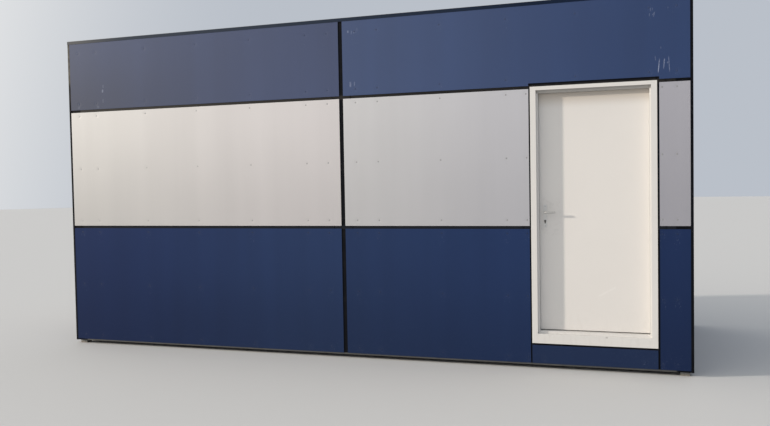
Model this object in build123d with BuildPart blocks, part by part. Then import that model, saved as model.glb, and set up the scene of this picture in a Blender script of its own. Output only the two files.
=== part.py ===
"""Portable site cabin: an insulated flat-roofed cabin on a steel base frame.

Its faces are clad in flat sheets in three bands, with open joints over dark battens, and it has
one door that opens inwards. Millimetres, real size. +Z is up, +X runs to the right along the
front, the front faces -Y, and the origin is on the ground under the middle of the cabin.
"""

import os

from build123d import *

os.makedirs("parts", exist_ok=True)

# Overall sizes
cabin_length = 5800.0
cabin_depth = 2400.0

# Levels above the ground
foot_height = 32.0
rail_top = 210.0
cladding_bottom = 45.0
lower_joint_level = 1162.0
roof_edge_bottom = 2965.0
ceiling_level = 2790.0

# Wall build-up, from the outside in
cladding_thickness = 4.0
batten_depth = 24.0
wall_thickness = 100.0

# Cladding sheets and their joints
corner_strip = 22.0
centre_joint = 38.0
band_joint = 25.0
upper_joint_drop = 5.0
door_joint_left = 12.0
door_joint_right = 16.0
door_joint_top = 28.0
door_joint_bottom = 15.0
cladding_lap = 20.0

# Battens behind the cladding
batten_width = 60.0
edge_batten_width = 110.0
joint_batten_width = 170.0
batten_gap = 5.0

# Corner posts, base frame and feet
post_wall = 4.0
post_base = 10.0
foot_size = 70.0
foot_inset = 31.0
base_web = 6.0
base_flange = 8.0
joist_height = 100.0
joist_width = 50.0
joist_count = 9
drip_thickness = 2.0

# Floor, ceiling and roof
floor_thickness = 80.0
ceiling_thickness = 12.0
roof_edge_height = 30.0
roof_edge_sheet = 2.0
roof_edge_lip = 14.0
roof_edge_mitre_gap = 1.0
roof_rail_height = 160.0
roof_rail_wall = 4.0
roof_panel_below_rim = 49.0
roof_panel_edge = 94.0
roof_fall = 18.0
roof_seam_height = 20.0
roof_seam_width = 8.0
roof_seam_pitch = 924.0

# Door frame
frame_width = 984.0
frame_height = 2098.0
frame_to_corner = 264.0
frame_face_side = 46.0
frame_face_head = 30.0
frame_face_sill = 78.0
frame_step_side = 12.0
frame_step_head = 22.0
frame_step_sill = 20.0
frame_step_depth = 30.0

# Door leaf
leaf_thickness = 50.0
leaf_overlap = 15.0
leaf_clearance = 5.0
leaf_sill_gap = 8.0
leaf_edge_round = 1.5

# Hinges
hinge_count = 3
hinge_end_distance = 190.0
hinge_half_height = 50.0
hinge_knuckle_radius = 9.0
hinge_pin_radius = 6.0
hinge_pin_clearance = 0.05
hinge_pin_end_gap = 4.0
hinge_knuckle_gap = 1.0
hinge_flap_length = 36.0
hinge_flap_thickness = 3.0
hinge_stand_off = 1.0

# Lever handle, its plates and the lock cylinder
lever_level = 1284.0
lever_backset = 62.0
lever_radius = 8.0
lever_clearance = 0.05
lever_length = 88.0
lever_reach = 46.0
lever_bend = 18.0
lever_end_round = 6.0
plate_width = 30.0
plate_height = 190.0
plate_thickness = 6.0
plate_corner = 12.0
plate_above_lever = 62.0
cylinder_drop = 72.0
cylinder_radius = 8.5
cylinder_body_width = 10.0
cylinder_body_drop = 20.0
cylinder_stand_out = 3.0
cylinder_clearance = 0.1
keyhole_height = 9.0
keyhole_width = 2.0
keyhole_depth = 6.0

# Planes and places that follow from the sizes
half_length = cabin_length / 2
half_depth = cabin_depth / 2
core_inset = cladding_thickness + batten_depth
core_x = half_length - core_inset
core_y = half_depth - core_inset
room_x = core_x - wall_thickness
room_y = core_y - wall_thickness
sheet_back_x = half_length - cladding_thickness
sheet_back_y = half_depth - cladding_thickness
post_size = core_inset + wall_thickness
rim_top = roof_edge_bottom + roof_edge_height
structure_top = rim_top - roof_edge_sheet
roof_rail_bottom = structure_top - roof_rail_height
floor_level = rail_top + floor_thickness
cladding_top = roof_edge_bottom + cladding_lap

frame_right = half_length - frame_to_corner
frame_left = frame_right - frame_width
frame_bottom = rail_top
frame_top = frame_bottom + frame_height

# The middle of the upper joint lies a little below the top of the door frame
upper_joint_level = frame_top - upper_joint_drop
sheet_end_x = half_length - corner_strip
sheet_end_y = half_depth - corner_strip
bottom_band = (cladding_bottom, lower_joint_level - band_joint / 2)
middle_band = (lower_joint_level + band_joint / 2, upper_joint_level - band_joint / 2)
top_band = (upper_joint_level + band_joint / 2, cladding_top)

step_left = frame_left + frame_face_side
step_right = frame_right - frame_face_side
step_bottom = frame_bottom + frame_face_sill
step_top = frame_top - frame_face_head
passage_left = step_left + frame_step_side
passage_right = step_right - frame_step_side
passage_bottom = step_bottom + frame_step_sill
passage_top = step_top - frame_step_head
passage_middle = (passage_left + passage_right) / 2

leaf_left = passage_left - leaf_overlap
leaf_right = passage_right + leaf_overlap
leaf_bottom = passage_bottom + leaf_sill_gap
leaf_top = passage_top + leaf_overlap
leaf_inner_y = -room_y
leaf_outer_y = leaf_inner_y - leaf_thickness

hinge_x = leaf_right + leaf_clearance / 2
hinge_y = leaf_inner_y + hinge_knuckle_radius + hinge_stand_off
lever_x = leaf_left + lever_backset
cylinder_level = lever_level - cylinder_drop

front_face = Plane.XZ.offset(half_depth)


def spanning_rectangle(left, right, bottom, top):
    """Add a rectangle with these four edges to the open sketch."""
    with Locations(((left + right) / 2, (bottom + top) / 2)):
        Rectangle(right - left, top - bottom)


def keep(builder, name):
    """Label a finished piece and write its STEP file."""
    builder.part.label = name
    export_step(builder.part, f"parts/{name}.step")


# Corner feet, one block under each post
with BuildPart() as corner_feet:
    foot_centre_x = half_length - foot_inset - foot_size / 2
    foot_centre_y = half_depth - foot_inset - foot_size / 2
    with BuildSketch(Plane.XY):
        with GridLocations(2 * foot_centre_x, 2 * foot_centre_y, 2, 2):
            Rectangle(foot_size, foot_size)
    extrude(amount=foot_height)
keep(corner_feet, "corner_feet")


def corner_post(name, side_x, side_y):
    """A hollow post on a closed base, whose nib stands out between the cladding of two faces."""
    outer_x = side_x * half_length
    outer_y = side_y * half_depth
    nib = corner_strip
    lap = cladding_thickness
    outline = [
        (0, 0),
        (nib, 0),
        (nib, lap),
        (post_size, lap),
        (post_size, post_size),
        (lap, post_size),
        (lap, nib),
        (0, nib),
    ]
    with BuildPart() as post:
        with BuildSketch(Plane.XY.offset(foot_height)):
            with BuildLine():
                Polyline([(outer_x - side_x * u, outer_y - side_y * v) for u, v in outline], close=True)
            make_face()
        extrude(amount=structure_top - foot_height)
        hollow = post_size - lap - 2 * post_wall
        middle = lap + post_wall + hollow / 2
        with BuildSketch(Plane.XY.offset(structure_top)):
            with Locations((outer_x - side_x * middle, outer_y - side_y * middle)):
                Rectangle(hollow, hollow)
        extrude(amount=foot_height + post_base - structure_top, mode=Mode.SUBTRACT)
    keep(post, name)


corner_post("corner_post_front_left", -1, -1)
corner_post("corner_post_front_right", 1, -1)
corner_post("corner_post_back_left", -1, 1)
corner_post("corner_post_back_right", 1, 1)


def channel_outline(web_out, tip, bottom, top):
    """Sketch a channel whose web is at web_out and whose flanges reach to tip."""
    inward = 1 if tip > web_out else -1
    web_in = web_out + inward * base_web
    with BuildLine() as outline:
        Polyline(
            (web_out, bottom),
            (tip, bottom),
            (tip, bottom + base_flange),
            (web_in, bottom + base_flange),
            (web_in, top - base_flange),
            (tip, top - base_flange),
            (tip, top),
            (web_out, top),
            close=True,
        )
    make_face(outline.edges())


# Base frame: four steel channels between the posts, open to the inside
with BuildPart() as base_rails:
    for side in (-1, 1):
        with BuildSketch(Plane.YZ):
            channel_outline(side * core_y, side * room_y, foot_height, rail_top)
        extrude(amount=room_x, both=True)
        with BuildSketch(Plane.XZ):
            channel_outline(side * core_x, side * room_x, foot_height, rail_top)
        extrude(amount=room_y, both=True)
keep(base_rails, "base_rails")

# Floor joists, coped at both ends to reach the webs of the base channels
with BuildPart() as floor_joists:
    joist_end = core_y - base_web
    joist_bottom = rail_top - joist_height
    joist_pitch = 2 * room_x / joist_count
    for index in range(joist_count):
        joist_x = -room_x + (index + 0.5) * joist_pitch
        with BuildSketch(Plane.YZ.offset(joist_x)):
            with BuildLine():
                Polyline(
                    (-joist_end, joist_bottom),
                    (joist_end, joist_bottom),
                    (joist_end, rail_top - base_flange),
                    (room_y, rail_top - base_flange),
                    (room_y, rail_top),
                    (-room_y, rail_top),
                    (-room_y, rail_top - base_flange),
                    (-joist_end, rail_top - base_flange),
                    close=True,
                )
            make_face()
        extrude(amount=joist_width / 2, both=True)
keep(floor_joists, "floor_joists")

# Insulated floor between the walls
with BuildPart() as floor_deck:
    with BuildSketch(Plane.XY.offset(rail_top)):
        Rectangle(2 * room_x, 2 * room_y)
    extrude(amount=floor_thickness)
keep(floor_deck, "floor_deck")


def wall_slab(name, x_span, y_span, bottom):
    """An insulated wall from the given level up to the roof rails."""
    with BuildPart() as slab:
        with BuildSketch(Plane.XY.offset(bottom)):
            spanning_rectangle(*x_span, *y_span)
        extrude(amount=roof_rail_bottom - bottom)
    keep(slab, name)


front_span = (-core_y, -room_y)
wall_slab("front_wall_left", (-room_x, frame_left), front_span, rail_top)
wall_slab("front_wall_right", (frame_right, room_x), front_span, rail_top)
wall_slab("front_wall_over_door", (frame_left, frame_right), front_span, frame_top)
wall_slab("back_wall", (-room_x, room_x), (room_y, core_y), rail_top)
wall_slab("left_wall", (-core_x, -room_x), (-room_y, room_y), rail_top)
wall_slab("right_wall", (room_x, core_x), (-room_y, room_y), rail_top)

# Batten rows that the cladding is fixed to: one behind each band edge and each band middle
edge_rows = [
    (cladding_bottom, cladding_bottom + edge_batten_width),
    (roof_edge_bottom - edge_batten_width, roof_edge_bottom),
]
joint_rows = [
    (level - joint_batten_width / 2, level + joint_batten_width / 2)
    for level in (lower_joint_level, upper_joint_level)
]
middle_rows = [
    (sum(band) / 2 - batten_width / 2, sum(band) / 2 + batten_width / 2)
    for band in (bottom_band, middle_band, (top_band[0], roof_edge_bottom))
]
batten_rows = edge_rows + joint_rows + middle_rows
bay_start = joint_batten_width / 2 + batten_gap
door_batten_left = frame_left - batten_width
door_batten_right = frame_right + batten_width
door_batten_top = frame_top + batten_width

with BuildPart() as cladding_battens:
    with BuildSketch(Plane.XZ.offset(core_y)):
        spanning_rectangle(-bay_start + batten_gap, bay_start - batten_gap, cladding_bottom, roof_edge_bottom)
        spanning_rectangle(door_batten_left, frame_left, cladding_bottom, door_batten_top)
        spanning_rectangle(frame_right, door_batten_right, cladding_bottom, door_batten_top)
        door_span = (frame_left + batten_gap, frame_right - batten_gap)
        spanning_rectangle(*door_span, frame_top, door_batten_top)
        spanning_rectangle(*door_span, cladding_bottom, frame_bottom)
        for low, high in batten_rows:
            spanning_rectangle(-room_x, -bay_start, low, high)
            if low > door_batten_top:
                spanning_rectangle(bay_start, room_x, low, high)
            else:
                spanning_rectangle(bay_start, door_batten_left - batten_gap, low, high)
                spanning_rectangle(door_batten_right + batten_gap, room_x, low, high)
    extrude(amount=batten_depth)
    with BuildSketch(Plane.XZ.offset(-core_y)):
        spanning_rectangle(-bay_start + batten_gap, bay_start - batten_gap, cladding_bottom, roof_edge_bottom)
        for low, high in batten_rows:
            spanning_rectangle(-room_x, -bay_start, low, high)
            spanning_rectangle(bay_start, room_x, low, high)
    extrude(amount=-batten_depth)
    for side in (-1, 1):
        with BuildSketch(Plane.YZ.offset(side * core_x)):
            for low, high in batten_rows:
                spanning_rectangle(-room_y, room_y, low, high)
        extrude(amount=side * batten_depth)
keep(cladding_battens, "cladding_battens")


def front_sheet(name, left, right, band):
    """One plain cladding sheet on the front."""
    with BuildPart() as sheet:
        with BuildSketch(front_face):
            spanning_rectangle(left, right, *band)
        extrude(amount=-cladding_thickness)
    keep(sheet, name)


joint_edge = centre_joint / 2
door_edge_left = frame_left - door_joint_left
door_edge_right = frame_right + door_joint_right
under_door_band = (cladding_bottom, frame_bottom - door_joint_bottom)
front_sheet("front_panel_top_left", -sheet_end_x, -joint_edge, top_band)
front_sheet("front_panel_middle_left", -sheet_end_x, -joint_edge, middle_band)
front_sheet("front_panel_bottom_left", -sheet_end_x, -joint_edge, bottom_band)
front_sheet("front_panel_middle_centre", joint_edge, door_edge_left, middle_band)
front_sheet("front_panel_bottom_centre", joint_edge, door_edge_left, bottom_band)
front_sheet("front_panel_middle_right", door_edge_right, sheet_end_x, middle_band)
front_sheet("front_panel_bottom_right", door_edge_right, sheet_end_x, bottom_band)
front_sheet("front_panel_under_door", frame_left, frame_right, under_door_band)

# The top right sheet is notched over the door frame
with BuildPart() as front_panel_top_right:
    with BuildSketch(front_face):
        spanning_rectangle(joint_edge, sheet_end_x, *top_band)
    extrude(amount=-cladding_thickness)
    with BuildSketch(front_face):
        spanning_rectangle(door_edge_left, door_edge_right, top_band[0], frame_top + door_joint_top)
    extrude(amount=-cladding_thickness, mode=Mode.SUBTRACT)
keep(front_panel_top_right, "front_panel_top_right")

bands = {"top": top_band, "middle": middle_band, "bottom": bottom_band}

# The back repeats the two bays, and each end has one bay
for band_name, band in bands.items():
    with BuildPart() as back_panels:
        with BuildSketch(Plane.XZ.offset(-half_depth)):
            spanning_rectangle(-sheet_end_x, -joint_edge, *band)
            spanning_rectangle(joint_edge, sheet_end_x, *band)
        extrude(amount=cladding_thickness)
    keep(back_panels, f"back_panels_{band_name}")

    with BuildPart() as end_panels:
        for side in (-1, 1):
            with BuildSketch(Plane.YZ.offset(side * half_length)):
                spanning_rectangle(-sheet_end_y, sheet_end_y, *band)
            extrude(amount=-side * cladding_thickness)
    keep(end_panels, f"end_panels_{band_name}")


def drip_outline(core, sheet_back):
    """Sketch the angle that closes the bottom of the batten gap."""
    outward = 1 if sheet_back > core else -1
    with BuildLine() as outline:
        Polyline(
            (core, foot_height),
            (sheet_back, foot_height),
            (sheet_back, cladding_bottom),
            (sheet_back - outward * drip_thickness, cladding_bottom),
            (sheet_back - outward * drip_thickness, foot_height + drip_thickness),
            (core, foot_height + drip_thickness),
            close=True,
        )
    make_face(outline.edges())


# Drip strips under the cladding, one along each face between the posts
with BuildPart() as drip_strips:
    for side in (-1, 1):
        with BuildSketch(Plane.YZ):
            drip_outline(side * core_y, side * sheet_back_y)
        extrude(amount=room_x, both=True)
        with BuildSketch(Plane.XZ):
            drip_outline(side * core_x, side * sheet_back_x)
        extrude(amount=room_y, both=True)
keep(drip_strips, "drip_strips")


def box_section_outline(across):
    """Sketch a hollow roof rail whose middle is at the given place across the wall."""
    with Locations((across, roof_rail_bottom + roof_rail_height / 2)):
        Rectangle(wall_thickness, roof_rail_height)
        Rectangle(
            wall_thickness - 2 * roof_rail_wall,
            roof_rail_height - 2 * roof_rail_wall,
            mode=Mode.SUBTRACT,
        )


# Roof frame: four hollow rails between the posts
with BuildPart() as roof_rails:
    for side in (-1, 1):
        with BuildSketch(Plane.YZ):
            box_section_outline(side * (core_y + room_y) / 2)
        extrude(amount=room_x, both=True)
        with BuildSketch(Plane.XZ):
            box_section_outline(side * (core_x + room_x) / 2)
        extrude(amount=room_y, both=True)
keep(roof_rails, "roof_rails")

with BuildPart() as ceiling:
    with BuildSketch(Plane.XY.offset(ceiling_level)):
        Rectangle(2 * room_x, 2 * room_y)
    extrude(amount=ceiling_thickness)
keep(ceiling, "ceiling")

# Roof panel between the rails, with a fall from its ridge to the front and back
roof_panel_eaves = rim_top - roof_panel_below_rim
roof_panel_bottom = roof_panel_eaves - roof_panel_edge
seams_each_side = int((room_x - roof_seam_width) / roof_seam_pitch)
with BuildPart() as roof_sheet:
    with BuildSketch(Plane.YZ):
        with BuildLine():
            Polyline(
                (-room_y, roof_panel_bottom),
                (room_y, roof_panel_bottom),
                (room_y, roof_panel_eaves),
                (0, roof_panel_eaves + roof_fall),
                (-room_y, roof_panel_eaves),
                close=True,
            )
        make_face()
    extrude(amount=room_x, both=True)
    for index in range(-seams_each_side, seams_each_side + 1):
        with BuildSketch(Plane.YZ.offset(index * roof_seam_pitch)):
            with BuildLine():
                Polyline(
                    (-room_y, roof_panel_bottom),
                    (room_y, roof_panel_bottom),
                    (room_y, roof_panel_eaves + roof_seam_height),
                    (0, roof_panel_eaves + roof_fall + roof_seam_height),
                    (-room_y, roof_panel_eaves + roof_seam_height),
                    close=True,
                )
            make_face()
        extrude(amount=roof_seam_width / 2, both=True)
keep(roof_sheet, "roof_sheet")


def rim_ring(outer_grow, inner_grow, bottom, top):
    """Add a ring that lies between two rectangles grown from the cladding faces."""
    with BuildSketch(Plane.XY.offset(bottom)) as ring:
        Rectangle(cabin_length + 2 * outer_grow, cabin_depth + 2 * outer_grow)
        Rectangle(cabin_length + 2 * inner_grow, cabin_depth + 2 * inner_grow, mode=Mode.SUBTRACT)
    extrude(ring.sketch, amount=top - bottom)


# Roof edge: a folded capping in four lengths that meet in mitres at the corners
rim_inner = -post_size - roof_edge_sheet
with BuildPart() as roof_edge:
    rim_ring(roof_edge_sheet, 0, roof_edge_bottom, rim_top)
    rim_ring(roof_edge_sheet, rim_inner, structure_top, rim_top)
    rim_ring(-post_size, rim_inner, rim_top - roof_edge_lip, rim_top)
    for side_x in (-1, 1):
        for side_y in (-1, 1):
            mitre_x = side_x * (half_length + rim_inner / 2)
            mitre_y = side_y * (half_depth + rim_inner / 2)
            mitre_turn = 45.0 * side_x * side_y
            with Locations(Location((mitre_x, mitre_y, (roof_edge_bottom + rim_top) / 2), (0, 0, mitre_turn))):
                Box(4 * post_size, roof_edge_mitre_gap, 2 * roof_edge_height, mode=Mode.SUBTRACT)
keep(roof_edge, "roof_edge")

# Door frame: a stepped frame with a rebate inside that the leaf closes into
with BuildPart() as door_frame:
    frame_depth = half_depth - room_y
    with BuildSketch(front_face):
        spanning_rectangle(frame_left, frame_right, frame_bottom, frame_top)
    extrude(amount=-frame_depth)
    with BuildSketch(front_face):
        spanning_rectangle(passage_left, passage_right, passage_bottom, passage_top)
    extrude(amount=-frame_depth, mode=Mode.SUBTRACT)
    with BuildSketch(front_face):
        spanning_rectangle(step_left, step_right, step_bottom, step_top)
    extrude(amount=-frame_step_depth, mode=Mode.SUBTRACT)
    with BuildSketch(Plane.XZ.offset(room_y)):
        spanning_rectangle(
            leaf_left - leaf_clearance,
            leaf_right + leaf_clearance,
            passage_bottom,
            leaf_top + leaf_clearance,
        )
    extrude(amount=leaf_thickness + leaf_clearance, mode=Mode.SUBTRACT)

with BuildPart() as door_sill:
    add(door_frame.part)
    split(bisect_by=Plane.XY.offset(passage_bottom), keep=Keep.BOTTOM)
keep(door_sill, "door_sill")

with BuildPart() as door_head:
    add(door_frame.part)
    split(bisect_by=Plane.XY.offset(passage_top), keep=Keep.TOP)
keep(door_head, "door_head")

for jamb_name, kept_side in (("door_jamb_left", Keep.BOTTOM), ("door_jamb_right", Keep.TOP)):
    with BuildPart() as jamb:
        add(door_frame.part)
        split(bisect_by=Plane.XY.offset(passage_bottom), keep=Keep.TOP)
        split(bisect_by=Plane.XY.offset(passage_top), keep=Keep.BOTTOM)
        split(bisect_by=Plane.YZ.offset(passage_middle), keep=kept_side)
    keep(jamb, jamb_name)


def cylinder_outline(grow):
    """Sketch the lock cylinder's profile, a round barrel with a body below it."""
    with Locations((lever_x, cylinder_level)):
        Circle(cylinder_radius + grow)
    spanning_rectangle(
        lever_x - cylinder_body_width / 2 - grow,
        lever_x + cylinder_body_width / 2 + grow,
        cylinder_level - cylinder_body_drop - grow,
        cylinder_level,
    )


def lock_holes():
    """Cut the spindle bore and the lock cylinder's hole through the open part."""
    with BuildSketch(Plane.XZ.offset(-leaf_outer_y + 2 * plate_thickness)) as holes:
        with Locations((lever_x, lever_level)):
            Circle(lever_radius + lever_clearance)
        cylinder_outline(cylinder_clearance)
    extrude(holes.sketch, amount=-leaf_thickness - 4 * plate_thickness, mode=Mode.SUBTRACT)


with BuildPart() as door_leaf:
    with BuildSketch(Plane.XZ.offset(-leaf_outer_y)):
        spanning_rectangle(leaf_left, leaf_right, leaf_bottom, leaf_top)
    extrude(amount=-leaf_thickness)
    fillet(door_leaf.edges().filter_by(Axis.Z), leaf_edge_round)
    lock_holes()
keep(door_leaf, "door_leaf")

plate_top = lever_level + plate_above_lever
with BuildPart() as handle_plates:
    for face_y, outward in ((leaf_outer_y, 1), (leaf_inner_y, -1)):
        with BuildSketch(Plane.XZ.offset(-face_y)):
            with Locations((lever_x, plate_top - plate_height / 2)):
                RectangleRounded(plate_width, plate_height, plate_corner)
        extrude(amount=outward * plate_thickness)
    lock_holes()
keep(handle_plates, "handle_plates")

cylinder_outer_y = leaf_outer_y - plate_thickness - cylinder_stand_out
cylinder_inner_y = leaf_inner_y + plate_thickness + cylinder_stand_out
with BuildPart() as lock_cylinder:
    with BuildSketch(Plane.XZ.offset(-cylinder_outer_y)):
        cylinder_outline(0)
    extrude(amount=cylinder_outer_y - cylinder_inner_y)
    for face_y, inward in ((cylinder_outer_y, -1), (cylinder_inner_y, 1)):
        with BuildSketch(Plane.XZ.offset(-face_y)):
            with Locations((lever_x, cylinder_level)):
                Rectangle(keyhole_width, keyhole_height)
        extrude(amount=inward * keyhole_depth, mode=Mode.SUBTRACT)
keep(lock_cylinder, "lock_cylinder")

# Lever handle: one lever on each side of the leaf, on the spindle between them
lever_outer_y = leaf_outer_y - plate_thickness - lever_reach
lever_inner_y = leaf_inner_y + plate_thickness + lever_reach
lever_middle_y = (leaf_outer_y + leaf_inner_y) / 2
with BuildPart() as lever_handle:
    for grip_y in (lever_outer_y, lever_inner_y):
        with BuildLine() as lever_path:
            FilletPolyline(
                (lever_x, lever_middle_y, lever_level),
                (lever_x, grip_y, lever_level),
                (lever_x + lever_length, grip_y, lever_level),
                radius=lever_bend,
            )
        with BuildSketch(Plane(origin=lever_path.line @ 0, z_dir=lever_path.line % 0)):
            Circle(lever_radius)
        sweep()
    fillet(lever_handle.faces().sort_by(Axis.X)[-2:].edges(), lever_end_round)
keep(lever_handle, "lever_handle")

# Lift-off hinges: the frame half carries the pin, and the leaf half turns on it
hinge_low = leaf_bottom + hinge_end_distance
hinge_high = leaf_top - hinge_end_distance
hinge_levels = [
    hinge_low + index * (hinge_high - hinge_low) / (hinge_count - 1) for index in range(hinge_count)
]
flap_y = (leaf_inner_y, leaf_inner_y + hinge_flap_thickness)
with BuildPart() as frame_hinges:
    for level in hinge_levels:
        with BuildSketch(Plane.XY.offset(level - hinge_half_height)):
            with Locations((hinge_x, hinge_y)):
                Circle(hinge_knuckle_radius)
            spanning_rectangle(hinge_x, hinge_x + hinge_flap_length, *flap_y)
        extrude(amount=hinge_half_height - hinge_knuckle_gap / 2)
        with BuildSketch(Plane.XY.offset(level - hinge_half_height)):
            with Locations((hinge_x, hinge_y)):
                Circle(hinge_pin_radius)
        extrude(amount=2 * hinge_half_height - hinge_pin_end_gap)
keep(frame_hinges, "frame_hinges")

with BuildPart() as leaf_hinges:
    for level in hinge_levels:
        with BuildSketch(Plane.XY.offset(level + hinge_knuckle_gap / 2)):
            with Locations((hinge_x, hinge_y)):
                Circle(hinge_knuckle_radius)
            spanning_rectangle(hinge_x - hinge_flap_length, hinge_x, *flap_y)
            with Locations((hinge_x, hinge_y)):
                Circle(hinge_pin_radius + hinge_pin_clearance, mode=Mode.SUBTRACT)
        extrude(amount=hinge_half_height - hinge_knuckle_gap / 2)
keep(leaf_hinges, "leaf_hinges")
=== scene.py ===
"""Portable site cabin: the small pieces, finishes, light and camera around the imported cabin.

Metres. +Z is up, +X runs to the right along the front, and the front faces -Y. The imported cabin
gives the sizes that its pieces share with it. The sizes and colours that a user may change are
the properties below, and each operator makes one piece or one group of like pieces.
"""

import math

import bmesh
import bpy
from mathutils import Matrix, Vector


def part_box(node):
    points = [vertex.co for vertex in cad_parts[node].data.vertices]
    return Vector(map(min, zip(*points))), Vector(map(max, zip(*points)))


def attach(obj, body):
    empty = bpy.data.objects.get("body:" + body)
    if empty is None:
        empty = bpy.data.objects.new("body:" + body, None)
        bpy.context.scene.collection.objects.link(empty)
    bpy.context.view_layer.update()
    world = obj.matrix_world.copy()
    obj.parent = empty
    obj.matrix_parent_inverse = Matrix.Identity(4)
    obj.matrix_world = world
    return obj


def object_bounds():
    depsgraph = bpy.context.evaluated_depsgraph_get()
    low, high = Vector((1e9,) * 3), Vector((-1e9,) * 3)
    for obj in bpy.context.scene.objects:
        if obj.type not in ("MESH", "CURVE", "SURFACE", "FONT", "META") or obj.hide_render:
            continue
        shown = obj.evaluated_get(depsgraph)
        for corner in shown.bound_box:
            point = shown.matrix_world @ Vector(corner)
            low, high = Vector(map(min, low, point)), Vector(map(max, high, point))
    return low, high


bl_info = {
    "name": "Portable Site Cabin",
    "version": (1, 0, 0),
    "blender": (4, 5, 0),
    "location": "View3D > Sidebar > Cabin",
    "description": "Fasteners, seals, finishes and stage for a portable site cabin",
    "category": "Object",
}

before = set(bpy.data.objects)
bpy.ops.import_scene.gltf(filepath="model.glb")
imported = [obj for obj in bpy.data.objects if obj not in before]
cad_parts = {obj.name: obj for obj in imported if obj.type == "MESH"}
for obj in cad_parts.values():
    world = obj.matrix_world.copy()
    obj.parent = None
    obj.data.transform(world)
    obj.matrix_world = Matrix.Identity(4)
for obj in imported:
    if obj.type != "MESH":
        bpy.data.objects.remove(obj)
cad_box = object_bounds()

BANDS = ("top", "middle", "bottom")
FRONT_SHEETS = (
    "front_panel_top_left",
    "front_panel_top_right",
    "front_panel_middle_left",
    "front_panel_middle_centre",
    "front_panel_middle_right",
    "front_panel_bottom_left",
    "front_panel_bottom_centre",
    "front_panel_bottom_right",
    "front_panel_under_door",
)

LEFT_END = cad_box[0][0]
ROOF_TOP = cad_box[1][2]

# The roof edge stands out this far beyond the sheets
ROOF_EDGE_STEP = 0.002
SHEET_REACH = {"X": cad_box[1][0] - ROOF_EDGE_STEP, "Y": cad_box[1][1] - ROOF_EDGE_STEP}

# The lower row of rivets in the top band is this much higher above the edge than in the others
TOP_BAND_LIFT = 0.008


def length_property(name, description, default):
    """A length that the user may change."""
    return bpy.props.FloatProperty(
        name=name, description=description, default=default, unit="LENGTH"
    )


def angle_property(name, description, degrees):
    """An angle that the user may change."""
    return bpy.props.FloatProperty(
        name=name, description=description, default=math.radians(degrees), unit="ROTATION"
    )


def colour_property(name, description, default):
    """A colour that the user may change."""
    return bpy.props.FloatVectorProperty(
        name=name, description=description, default=default, subtype="COLOR", min=0.0, max=1.0
    )


class CabinFastenerSizes(bpy.types.PropertyGroup):
    """Sizes and places of the rivets and screws."""

    rivet_width: length_property("Rivet width", "Width of a cladding rivet's head", 0.014)
    rivet_height: length_property("Rivet height", "How far a rivet's head stands out", 0.0018)
    rivet_pitch: length_property("Rivet pitch", "Distance between rivets along a row", 0.560)
    corner_inset: length_property("Corner inset", "First rivet from the edge at a corner", 0.097)
    joint_inset: length_property("Joint inset", "First rivet from the middle joint", 0.115)
    door_inset: length_property("Door inset", "First rivet from the edge at the door", 0.020)
    second_inset: length_property("Second inset", "Second rivet from a corner", 0.298)
    joint_second_inset: length_property(
        "Second inset at joint", "Second rivet from the middle joint", 0.316
    )
    lower_inset: length_property("Lower inset", "Lowest row above the sheet's lower edge", 0.049)
    upper_inset: length_property("Upper inset", "Highest row below the upper edge", 0.0375)
    roof_inset: length_property("Roof inset", "Highest row below the roof edge", 0.095)
    screw_width: length_property("Screw width", "Width of a countersunk screw's head", 0.009)
    screw_height: length_property("Screw height", "How far a screw's head stands out", 0.0006)


class CabinColours(bpy.types.PropertyGroup):
    """Colours of the cabin's finishes."""

    upper_blue: colour_property("Upper blue", "Top sheets", (0.019, 0.042, 0.124))
    lower_blue: colour_property("Lower blue", "Bottom sheets", (0.014, 0.030, 0.088))
    silver: colour_property("Silver", "Middle sheets", (0.50, 0.50, 0.515))
    core: colour_property("Sheet core", "Edge of the composite sheets", (0.03, 0.025, 0.025))
    black: colour_property("Black", "Posts and battens", (0.0035, 0.0042, 0.0065))
    dust: colour_property("Dust", "Dust and dried splashes", (0.36, 0.33, 0.28))
    # On the blue sheets this colour is partly dust and partly a painted highlight round the rivets
    blue_dust_and_highlight: colour_property("Dust on blue", "Dust on the blue sheets", (0.24, 0.28, 0.37))
    steel: colour_property("Steel", "Base and roof frames", (0.050, 0.053, 0.058))
    rust: colour_property("Rust", "Rust on the base frame", (0.16, 0.060, 0.025))
    foot: colour_property("Foot", "Galvanised feet", (0.22, 0.22, 0.21))
    drip: colour_property("Drip strip", "Dull galvanised drip strip", (0.085, 0.085, 0.083))
    roof_edge: colour_property("Roof edge", "Coating of the roof edge", (0.016, 0.025, 0.045))
    roof: colour_property("Roof", "Galvanised roof sheet", (0.33, 0.34, 0.34))
    frame_white: colour_property("Frame white", "Door frame and hinges", (0.685, 0.67, 0.65))
    leaf_white: colour_property("Leaf white", "Coating of the door leaf", (0.72, 0.695, 0.668))
    plate: colour_property("Handle plate", "Coating of the handle plates", (0.66, 0.65, 0.635))
    scratch: colour_property("Scratch", "Bare metal in the scratches", (0.40, 0.45, 0.60))
    lever: colour_property("Lever", "Satin metal of the lever", (0.50, 0.50, 0.49))
    wall: colour_property("Wall", "Faced wall boards", (0.72, 0.71, 0.67))
    membrane: colour_property("Membrane", "Outer face of the walls", (0.008, 0.008, 0.009))
    skirting: colour_property("Skirting", "Grey skirting boards", (0.30, 0.31, 0.32))
    floor: colour_property("Floor", "Flecked floor covering", (0.20, 0.21, 0.22))
    rubber: colour_property("Rubber", "Door seals", (0.26, 0.26, 0.255))
    zinc: colour_property("Zinc", "Screws and lock plates", (0.50, 0.50, 0.49))
    rivet: colour_property("Rivet", "Bare rivet heads", (0.36, 0.36, 0.37))
    # Lock cylinder: partly tarnish, partly painted shade of its keyhole and of the shadow round it
    cylinder: colour_property("Cylinder", "Tarnished lock cylinder", (0.10, 0.095, 0.085))


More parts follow.
